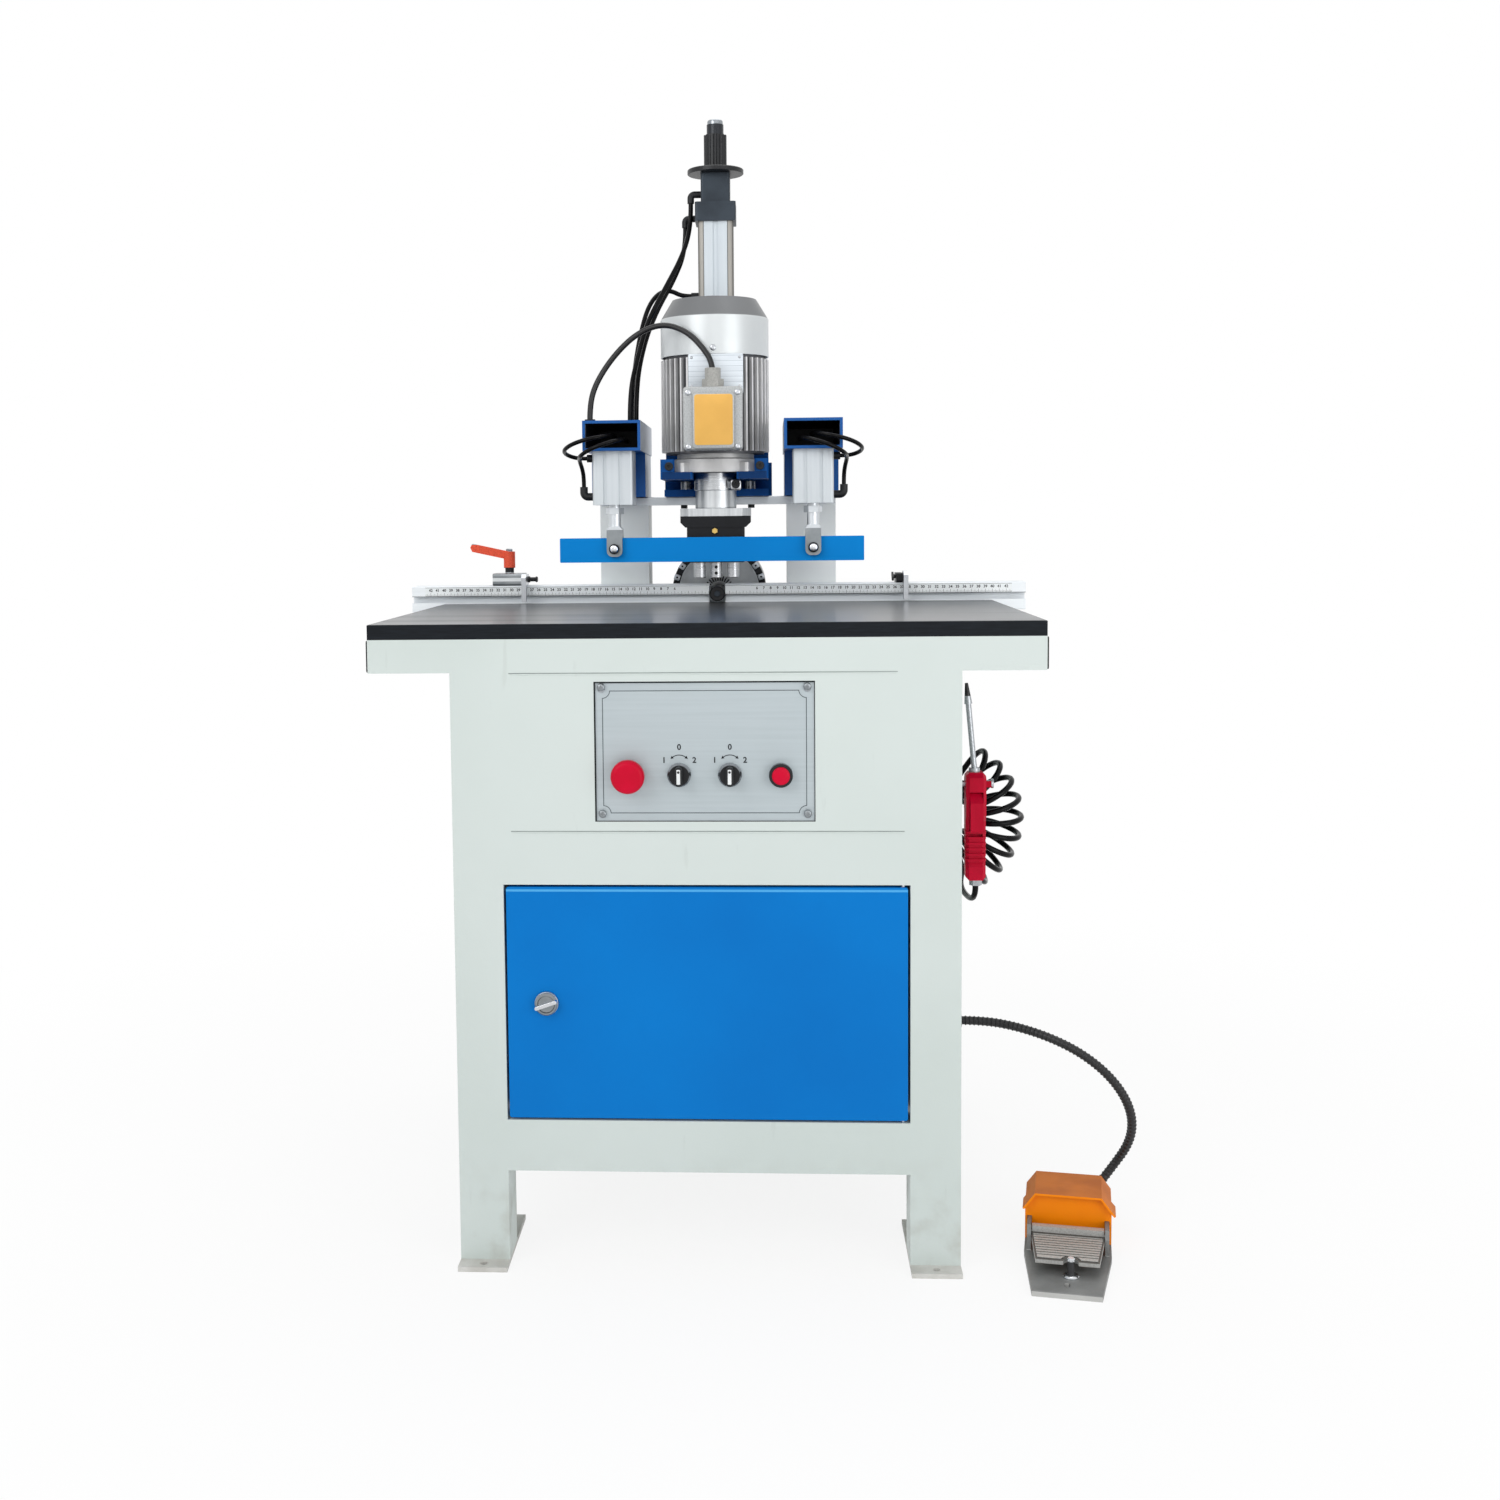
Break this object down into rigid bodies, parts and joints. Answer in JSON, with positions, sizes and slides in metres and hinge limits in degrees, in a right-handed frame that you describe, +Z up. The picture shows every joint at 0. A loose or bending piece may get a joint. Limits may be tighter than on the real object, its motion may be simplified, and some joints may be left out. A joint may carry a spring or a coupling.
{
  "type": "wood drilling machine",
  "caption": "Bench-height wood drilling machine with a pneumatic vertical multi-spindle head, a horizontal drilling head behind the fence, clamp bar, cabinet, air gun and foot pedal.",
  "frame": {"origin": "floor level, middle of the four anchor holes of the base", "axes": "+X to the operator's right, +Y from the operator to the back, +Z up"},
  "size_m": [0.9882, 0.9099, 1.4886],
  "materials": {
    "frame_paint": "satin powder coat",
    "panel_paint": "satin powder coat",
    "blue_paint": "satin powder coat",
    "bracket_blue": "satin powder coat",
    "table_laminate": "dark laminate with a black edge",
    "bare_steel": "mill finish",
    "plated_steel": "zinc plated",
    "aluminium": "clear anodised",
    "motor_grey": "painted casting",
    "dark_aluminium": "dark anodised",
    "black_plastic": "moulded",
    "black_hose": "polyurethane",
    "conduit_plastic": "ribbed polyamide",
    "orange_plastic": "moulded",
    "hood_orange": "gloss paint",
    "pedal_grey": "painted casting",
    "red_plastic": "moulded",
    "lamp_red": "translucent red lens",
    "switch_plate": "brushed",
    "grey_plastic": "moulded",
    "rule_steel": "satin"
  },
  "bodies": {
    "base": {"frame_tubes": "frame_paint", "foot_plates": "bare_steel", "table_ring": "frame_paint", "table_top": "table_laminate", "cabinet_panels": "panel_paint", "control_plate": "switch_plate", "plated_hardware": "plated_steel", "switch_bezels": "plated_steel", "power_lamp": "lamp_red", "mounting_plate": "plated_steel", "electrics": "grey_plastic", "valve_bank": "dark_aluminium", "pillars": "frame_paint", "bridge_plate": "bracket_blue", "arm_brackets": "bracket_blue", "air_cylinders": "aluminium", "hose_fittings": "black_plastic", "fence_rails": "aluminium", "fence_rules": "rule_steel", "guide_plates": "blue_paint", "guide_rods": "bare_steel", "feed_barrel": "aluminium", "feed_caps": "dark_aluminium", "glands_and_unions": "black_plastic", "pedal_base": "pedal_grey", "pedal_hood": "hood_orange", "coil_hose": "black_hose", "conduit": "conduit_plastic", "motor_cable": "black_plastic", "air_hoses": "black_hose", "gun_body": "red_plastic", "gun_nozzle": "plated_steel"},
    "door": {"door": "blue_paint"},
    "lock": {"door_lock": "plated_steel"},
    "estop": {"estop_button": "red_plastic"},
    "selector_v": {"selector_vertical": "black_plastic"},
    "selector_h": {"selector_horizontal": "black_plastic"},
    "press": {"press_bar": "blue_paint", "rods_and_forks": "bare_steel"},
    "stop_l": {"stop_left": "aluminium"},
    "lever": {"clamp_lever": "orange_plastic"},
    "finger_l": {"flip_stop_left": "bare_steel"},
    "stop_r": {"stop_right": "black_plastic"},
    "finger_r": {"flip_stop_right": "bare_steel"},
    "feed": {"feed_carriage": "blue_paint", "feed_rod": "bare_steel", "motor_housing": "motor_grey", "fan_cowl": "motor_grey", "terminal_box": "motor_grey", "motor_flange": "motor_grey", "quill": "bare_steel", "gear_head": "dark_aluminium"},
    "spindle_c": {"drive_spindle": "bare_steel"},
    "spindle_l": {"side_spindle_left": "bare_steel"},
    "spindle_r": {"side_spindle_right": "bare_steel"},
    "wheel": {"depth_wheel": "dark_aluminium"},
    "slide_unit": {"slide_motor": "motor_grey"},
    "slide_shaft": {"slide_spindle": "bare_steel"},
    "trigger": {"gun_trigger": "red_plastic"},
    "pedal_plate": {"treadle": "pedal_grey"}
  },
  "joints": [
    {"name": "feed_stroke", "type": "slide", "parent": "base", "child": "feed", "axis": [0, 0, 1], "range_m": [0, 0.06], "deforming": ["motor_cable"]},
    {"name": "drive_spin", "type": "hinge", "parent": "feed", "child": "spindle_c", "pos_m": [0.002, 0.125, 0.87], "axis": [0, 0, 1], "continuous": true},
    {"name": "left_spin", "type": "hinge", "parent": "feed", "child": "spindle_l", "pos_m": [-0.022, 0.125, 0.87], "axis": [0, 0, 1], "continuous": true},
    {"name": "right_spin", "type": "hinge", "parent": "feed", "child": "spindle_r", "pos_m": [0.026, 0.125, 0.87], "axis": [0, 0, 1], "continuous": true},
    {"name": "depth_wheel_turn", "type": "hinge", "parent": "feed", "child": "wheel", "pos_m": [0.002, 0.238, 1.42], "axis": [0, 0, 1], "continuous": true},
    {"name": "clamp_stroke", "type": "slide", "parent": "base", "child": "press", "axis": [0, 0, -1], "range_m": [0, 0.045]},
    {"name": "horizontal_stroke", "type": "slide", "parent": "base", "child": "slide_unit", "axis": [0, -1, 0], "range_m": [0, 0.06]},
    {"name": "horizontal_spin", "type": "hinge", "parent": "slide_unit", "child": "slide_shaft", "pos_m": [0.002, 0.3, 0.792], "axis": [0, 1, 0], "continuous": true},
    {"name": "left_stop_slide", "type": "slide", "parent": "base", "child": "stop_l", "axis": [1, 0, 0], "range_m": [-0.1, 0.12]},
    {"name": "lever_turn", "type": "hinge", "parent": "stop_l", "child": "lever", "pos_m": [-0.3055, 0.17, 0.83], "axis": [0, 0, 1], "range_deg": [-60, 60]},
    {"name": "left_stop_flip", "type": "hinge", "parent": "stop_l", "child": "finger_l", "pos_m": [-0.28, 0.16, 0.815], "axis": [-1, 0, 0], "range_deg": [0, 110]},
    {"name": "right_stop_slide", "type": "slide", "parent": "base", "child": "stop_r", "axis": [1, 0, 0], "range_m": [-0.07, 0.12]},
    {"name": "right_stop_flip", "type": "hinge", "parent": "stop_r", "child": "finger_r", "pos_m": [0.2745, 0.16, 0.815], "axis": [-1, 0, 0], "range_deg": [0, 110]},
    {"name": "door_swing", "type": "hinge", "parent": "base", "child": "door", "pos_m": [0.2335, -0.344, 0.324], "axis": [0, 0, 1], "range_deg": [0, 105]},
    {"name": "lock_turn", "type": "hinge", "parent": "door", "child": "lock", "pos_m": [-0.192, -0.345, 0.324], "axis": [0, 1, 0], "range_deg": [0, 90]},
    {"name": "estop_push", "type": "slide", "parent": "base", "child": "estop", "axis": [0, 1, 0], "range_m": [0, 0.005], "stiffness_N_per_m": 900},
    {"name": "vertical_selector", "type": "hinge", "parent": "base", "child": "selector_v", "pos_m": [-0.03, -0.36, 0.6], "axis": [0, -1, 0], "range_deg": [-45, 45]},
    {"name": "horizontal_selector", "type": "hinge", "parent": "base", "child": "selector_h", "pos_m": [0.03, -0.36, 0.6], "axis": [0, -1, 0], "range_deg": [-45, 45]},
    {"name": "treadle_press", "type": "hinge", "parent": "base", "child": "pedal_plate", "pos_m": [0.43721, -0.2999, 0.025], "axis": [0.9848, -0.1736, 0], "range_deg": [0, 7], "stiffness_Nm_per_rad": 4, "springref_deg": -14.32},
    {"name": "trigger_squeeze", "type": "hinge", "parent": "base", "child": "trigger", "pos_m": [0.334, -0.216, 0.553], "axis": [1, 0, 0], "range_deg": [0, 8], "stiffness_Nm_per_rad": 0.6, "springref_deg": -11.46}
  ],
  "couplings": [
    {"joint": "left_spin", "follows": "drive_spin", "ratio": -1},
    {"joint": "right_spin", "follows": "drive_spin", "ratio": -1}
  ]
}
